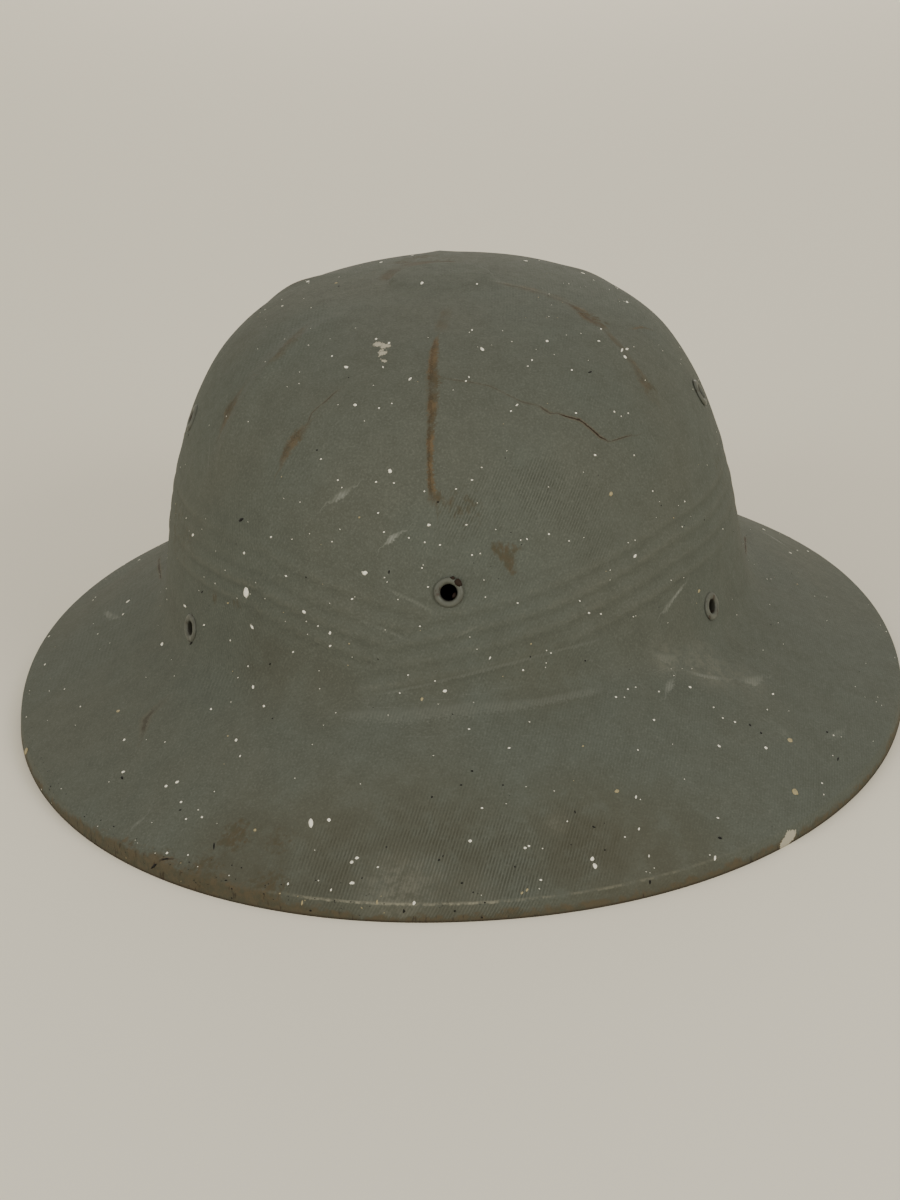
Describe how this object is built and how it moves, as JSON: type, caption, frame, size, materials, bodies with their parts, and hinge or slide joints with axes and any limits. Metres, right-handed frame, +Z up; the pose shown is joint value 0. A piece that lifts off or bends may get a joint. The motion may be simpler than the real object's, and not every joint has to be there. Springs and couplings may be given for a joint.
{
  "type": "sun helmet",
  "caption": "Pressed-fibre sun helmet in worn grey paint: domed crown with a moulded pleated band, wide drooping brim with a turned-down lip, and metal vent eyelets.",
  "frame": {"origin": "centre of the brim's lip, on the plane the helmet rests on", "axes": "+Z up through the crown, -Y towards the front of the helmet, +X to the right in the picture"},
  "size_m": [0.28, 0.336, 0.13],
  "materials": {
    "painted_fibre": "matte grey paint on twill-covered fibre, worn brown on ridges and lip",
    "eyelet_metal": "satin grey paint on rolled metal"
  },
  "bodies": {
    "root": {"shell": "painted_fibre", "eyelet_front": "eyelet_metal", "eyelet_left_low": "eyelet_metal", "eyelet_right_low": "eyelet_metal", "eyelet_left_high": "eyelet_metal", "eyelet_right_high": "eyelet_metal"}
  },
  "joints": []
}
